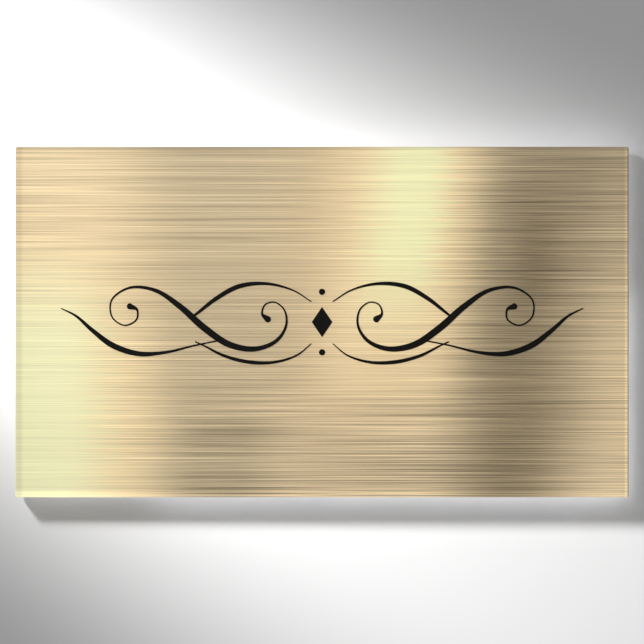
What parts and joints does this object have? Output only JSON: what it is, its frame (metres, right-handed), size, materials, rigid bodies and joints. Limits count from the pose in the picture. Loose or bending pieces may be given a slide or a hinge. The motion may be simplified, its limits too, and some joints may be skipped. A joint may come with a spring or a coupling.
{
  "type": "name badge",
  "caption": "Flat rectangular name badge: clear acrylic slab over a brushed gold sheet with black printed scrollwork, and a magnetic bar across the back.",
  "frame": {"origin": "centre of the magnetic bar's underside, which is the bottom centre of the whole badge", "axes": "+X along the badge's length (right in the picture), +Y up the badge's face (up in the picture), +Z out of the face"},
  "size_m": [0.0888, 0.0508, 0.0049],
  "materials": {
    "clear_acrylic": "clear cast acrylic, polished",
    "brushed_gold": "gold coloured, brushed along the length",
    "black_ink": "flat printed black",
    "plated_steel": "nickel plated, satin"
  },
  "bodies": {
    "root": {"clear_slab": "clear_acrylic", "gold_sheet": "brushed_gold", "magnet_bar": "plated_steel", "ink_scroll_right": "black_ink", "ink_scroll_left": "black_ink", "ink_lozenge": "black_ink", "ink_dot_upper": "black_ink", "ink_dot_lower": "black_ink"}
  },
  "joints": []
}
